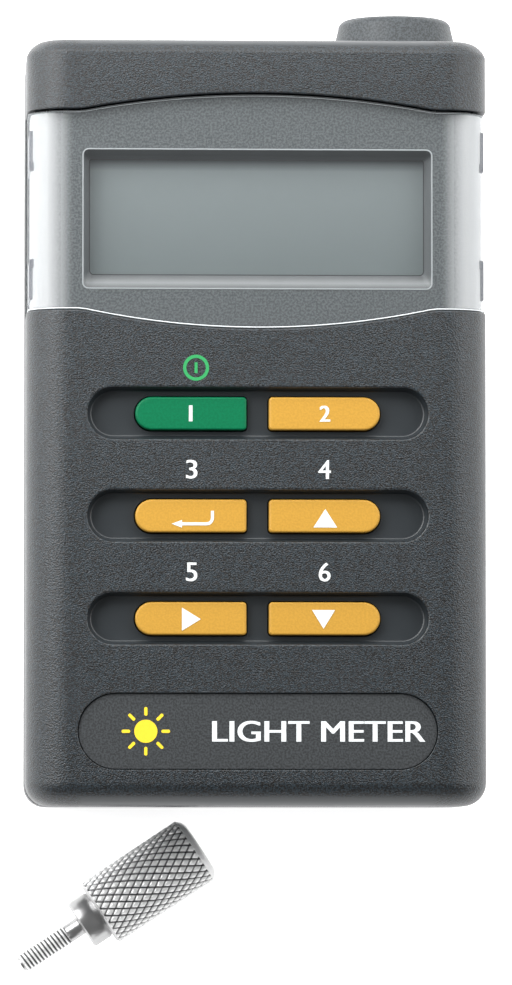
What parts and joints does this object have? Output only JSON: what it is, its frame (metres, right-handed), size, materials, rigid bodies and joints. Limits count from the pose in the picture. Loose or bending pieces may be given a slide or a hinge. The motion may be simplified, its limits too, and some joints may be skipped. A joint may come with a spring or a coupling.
{
  "type": "handheld light meter",
  "caption": "Hand-held digital light meter with a hooded sensor on its top end, an arched display window, recessed keys, and a loose knurled mounting adapter.",
  "frame": {"origin": "centre of the flat back face of the case, which is the face the meter lies on", "axes": "+X to the right of the front face, +Y towards the end that carries the sensor, +Z out of the front face; the meter lies on its back and the loose adapter lies beside its lower left corner"},
  "size_m": [0.0648, 0.1341, 0.034],
  "materials": {
    "case_plastic": "fine spark-eroded texture, dark grey",
    "window_plastic": "clear moulded plastic, polished outside, printed grey inside over the face",
    "bezel_plastic": "satin dark grey",
    "carrier_plastic": "satin white",
    "lcd_glass": "blank grey liquid crystal display with a satin polariser",
    "key_orange": "satin orange",
    "key_green": "satin green",
    "silicone": "matt silicone rubber",
    "plate": "fine satin dark grey",
    "board": "green solder mask over glass fibre",
    "component_black": "moulded black epoxy",
    "hood_plastic": "smooth grey, satin",
    "diffuser": "opal white, matt",
    "steel": "zinc-plated steel",
    "adapter_steel": "bright nickel-plated, knurled grip",
    "brass": "machined brass",
    "battery_jacket": "printed metal jacket, satin",
    "foam": "closed-cell foam",
    "lead_red": "red insulation",
    "lead_black": "black insulation"
  },
  "bodies": {
    "meter": {"front_case": "case_plastic", "rear_case": "case_plastic", "name_plate": "plate", "case_screw_1": "steel", "case_screw_2": "steel", "case_screw_3": "steel", "case_screw_4": "steel", "tripod_insert": "brass", "display_window": "window_plastic", "lcd_bezel": "bezel_plastic", "lcd_glass": "lcd_glass", "lcd_carrier": "carrier_plastic", "zebra_connector": "silicone", "keypad_mat": "silicone", "main_pcb": "board", "processor_chip": "component_black", "amplifier_chip": "component_black", "pcb_screw_1": "steel", "pcb_screw_2": "steel", "pcb_screw_3": "steel", "pcb_screw_4": "steel", "sensor_pcb": "board", "sensor_header": "component_black", "battery": "battery_jacket", "battery_snap": "component_black", "battery_lead_red": "lead_red", "battery_lead_black": "lead_black", "sensor_hood": "hood_plastic", "sensor_diffuser": "diffuser", "photodiode": "steel"},
    "key_time": {"key_time": "key_green"},
    "key_mode": {"key_mode": "key_orange"},
    "key_enter": {"key_enter": "key_orange"},
    "key_up": {"key_up": "key_orange"},
    "key_right": {"key_right": "key_orange"},
    "key_down": {"key_down": "key_orange"},
    "battery_door": {"battery_door": "case_plastic", "battery_pad": "foam"},
    "mounting_adapter": {"mounting_adapter": "adapter_steel"}
  },
  "joints": [
    {"name": "key_time_press", "type": "slide", "parent": "meter", "child": "key_time", "axis": [0, 0, -1], "range_m": [0, 0.0008], "stiffness_N_per_m": 400},
    {"name": "key_mode_press", "type": "slide", "parent": "meter", "child": "key_mode", "axis": [0, 0, -1], "range_m": [0, 0.0008], "stiffness_N_per_m": 400},
    {"name": "key_enter_press", "type": "slide", "parent": "meter", "child": "key_enter", "axis": [0, 0, -1], "range_m": [0, 0.0008], "stiffness_N_per_m": 400},
    {"name": "key_up_press", "type": "slide", "parent": "meter", "child": "key_up", "axis": [0, 0, -1], "range_m": [0, 0.0008], "stiffness_N_per_m": 400},
    {"name": "key_right_press", "type": "slide", "parent": "meter", "child": "key_right", "axis": [0, 0, -1], "range_m": [0, 0.0008], "stiffness_N_per_m": 400},
    {"name": "key_down_press", "type": "slide", "parent": "meter", "child": "key_down", "axis": [0, 0, -1], "range_m": [0, 0.0008], "stiffness_N_per_m": 400},
    {"name": "battery_door_slide", "type": "slide", "parent": "meter", "child": "battery_door", "axis": [0, -1, 0], "range_m": [0, 0.0055]},
    {"name": "adapter_lift", "type": "slide", "parent": "meter", "child": "mounting_adapter", "axis": [0, 0, 1], "range_m": [0, 0.05]}
  ]
}
